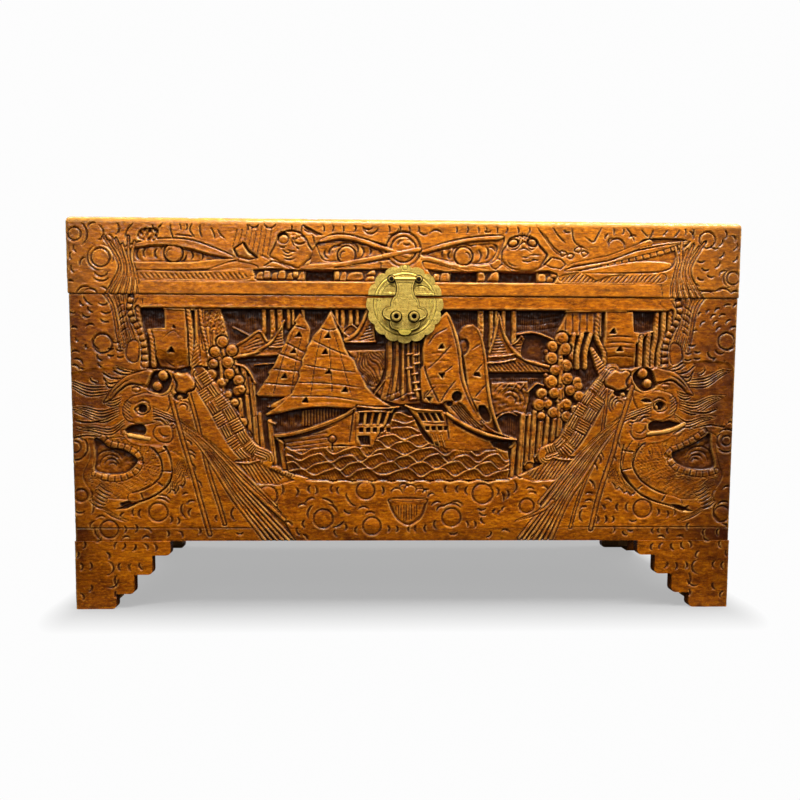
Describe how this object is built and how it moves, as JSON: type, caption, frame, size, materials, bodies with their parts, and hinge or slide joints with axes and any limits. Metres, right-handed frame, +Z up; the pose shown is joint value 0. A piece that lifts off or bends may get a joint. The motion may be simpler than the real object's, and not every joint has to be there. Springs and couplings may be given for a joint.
{
  "type": "wooden chest",
  "caption": "Rectangular carved wooden storage chest on stepped bracket feet, with a hinged lid, a round scalloped brass lock plate with a hasp, and a slotted lid stay.",
  "frame": {"origin": "on the floor, at the middle of the lid's footprint", "axes": "+X along the chest's length, to the right of someone who stands in front of it; +Y from the carved front, with the lock, to the back, with the hinges; +Z up"},
  "size_m": [1.016, 0.5317, 0.594],
  "materials": {
    "varnished_camphor": "glossy warm varnish over carved camphor wood, darker in the recesses",
    "bare_camphor": "planed, unvarnished camphor wood",
    "aged_brass": "aged yellow brass with soft tarnish",
    "dull_steel": "dull drawn steel"
  },
  "bodies": {
    "carcass": {"front_board_lower": "varnished_camphor", "front_board_middle": "varnished_camphor", "front_board_upper": "varnished_camphor", "back_board_lower": "varnished_camphor", "back_board_middle": "varnished_camphor", "back_board_upper": "varnished_camphor", "left_board_lower": "varnished_camphor", "left_board_middle": "varnished_camphor", "left_board_upper": "varnished_camphor", "right_board_lower": "varnished_camphor", "right_board_middle": "varnished_camphor", "right_board_upper": "varnished_camphor", "bottom_board_front": "varnished_camphor", "bottom_board_middle": "bare_camphor", "bottom_board_back": "bare_camphor", "foot_front_left_face_bracket": "varnished_camphor", "foot_front_left_side_bracket": "varnished_camphor", "foot_front_right_face_bracket": "varnished_camphor", "foot_front_right_side_bracket": "varnished_camphor", "foot_back_left_face_bracket": "varnished_camphor", "foot_back_left_side_bracket": "varnished_camphor", "foot_back_right_face_bracket": "varnished_camphor", "foot_back_right_side_bracket": "varnished_camphor", "glue_block_front_left": "bare_camphor", "glue_block_front_right": "bare_camphor", "glue_block_back_left": "bare_camphor", "glue_block_back_right": "bare_camphor", "lock_plate_lower": "aged_brass", "lock_post_left": "aged_brass", "lock_post_right": "aged_brass", "hinge_left_body_leaf": "aged_brass", "hinge_left_pin": "aged_brass", "hinge_right_body_leaf": "aged_brass", "hinge_right_pin": "aged_brass", "stay_plate_body": "dull_steel"},
    "lid": {"lid_rim_front": "varnished_camphor", "lid_rim_back": "varnished_camphor", "lid_rim_left": "varnished_camphor", "lid_rim_right": "varnished_camphor", "lid_top_board_front": "varnished_camphor", "lid_top_board_middle": "varnished_camphor", "lid_top_board_back": "varnished_camphor", "lock_plate_upper": "aged_brass", "hasp_bar": "aged_brass", "hasp_nail_left": "aged_brass", "hasp_nail_right": "aged_brass", "hinge_left_lid_leaf": "aged_brass", "hinge_right_lid_leaf": "aged_brass", "stay_plate_lid": "dull_steel"},
    "hasp": {"hasp": "aged_brass"},
    "stay_arm": {"stay_arm": "dull_steel"}
  },
  "joints": [
    {"name": "lid_hinge", "type": "hinge", "parent": "carcass", "child": "lid", "pos_m": [0, 0.2583, 0.48025], "axis": [-1, 0, 0], "range_deg": [0, 98]},
    {"name": "hasp_swing", "type": "hinge", "parent": "lid", "child": "hasp", "pos_m": [-0.004, -0.2582, 0.5047], "axis": [-1, 0, 0], "range_deg": [0, 165]},
    {"name": "stay_pivot", "type": "hinge", "parent": "lid", "child": "stay_arm", "pos_m": [0.4797, 0.10114, 0.51025], "axis": [-1, 0, 0], "range_deg": [-49, 0]}
  ],
  "couplings": [
    {"joint": "stay_pivot", "follows": "lid_hinge", "ratio": -0.5}
  ]
}
